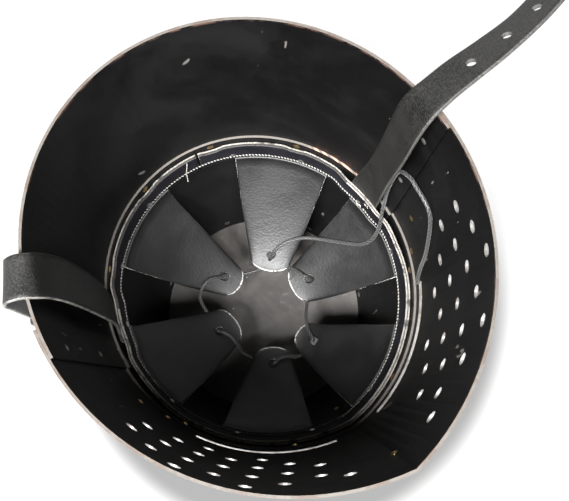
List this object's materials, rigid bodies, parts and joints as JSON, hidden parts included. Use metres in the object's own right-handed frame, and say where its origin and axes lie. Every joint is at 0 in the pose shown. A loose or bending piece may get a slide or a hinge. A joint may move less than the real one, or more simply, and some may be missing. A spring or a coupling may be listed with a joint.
{
  "type": "great helm",
  "caption": "Closed steel helm with a brass face cross, two narrow sights, breath holes, a laced leather liner and a buckled chin strap, standing on its flat crown.",
  "frame": {"origin": "middle of the crown's flat outer face, on which the helm stands with its opening up", "axes": "+Z from the crown to the open rim, the keel of the face along -Y, +X towards the helm's side with the long strap"},
  "size_m": [0.3769, 0.2725, 0.3181],
  "materials": {
    "blackened_steel": "black semi-gloss, bare at the cut edges",
    "brass": "dull",
    "rivet_steel": "dark",
    "band_leather": "smooth black with raw light edges",
    "petal_leather": "black semi-gloss with raw light edges",
    "strap_leather": "pebbled black",
    "lace_cord": "braided black",
    "buckle_steel": "satin"
  },
  "bodies": {
    "helm": {"skirt_front": "blackened_steel", "skirt_back": "blackened_steel", "upper_front": "blackened_steel", "upper_back": "blackened_steel", "crown_plate": "blackened_steel", "face_cross": "brass", "cross_rivets": "brass", "seam_rivets_right": "rivet_steel", "seam_rivets_left": "rivet_steel", "brow_rivets": "brass", "crown_rivets_ring": "rivet_steel", "liner_band": "band_leather", "liner_rivets": "rivet_steel", "petal_back_right": "petal_leather", "petal_right": "petal_leather", "petal_front_right": "petal_leather", "petal_front_left": "petal_leather", "petal_left": "petal_leather", "petal_back_left": "petal_leather", "liner_lace": "lace_cord", "long_strap_root": "strap_leather", "short_strap_root": "strap_leather"},
    "strap_tail": {"long_strap_tail": "strap_leather"},
    "strap_flap": {"short_strap_flap": "strap_leather", "strap_keeper": "strap_leather", "flap_rivet": "rivet_steel"},
    "buckle_frame": {"buckle_frame": "buckle_steel"},
    "buckle_prong": {"buckle_prong": "buckle_steel"}
  },
  "joints": [
    {"name": "long_strap_bend", "type": "hinge", "parent": "helm", "child": "strap_tail", "pos_m": [0.12434, 0.00673, 0.30952], "axis": [0.0187, 0.8208, -0.5709], "range_deg": [-35, 45]},
    {"name": "short_strap_lift", "type": "hinge", "parent": "helm", "child": "strap_flap", "pos_m": [-0.1191, 0.0508, 0.28902], "axis": [0.4884, 0.8723, -0.0223], "range_deg": [0, 90]},
    {"name": "buckle_swing", "type": "hinge", "parent": "strap_flap", "child": "buckle_frame", "pos_m": [-0.11224, 0.04534, 0.22557], "axis": [0.4884, 0.8723, -0.0223], "range_deg": [-4, 40]},
    {"name": "prong_swing", "type": "hinge", "parent": "buckle_frame", "child": "buckle_prong", "pos_m": [-0.11224, 0.04534, 0.22557], "axis": [0.4884, 0.8723, -0.0223], "range_deg": [0, 80]}
  ]
}
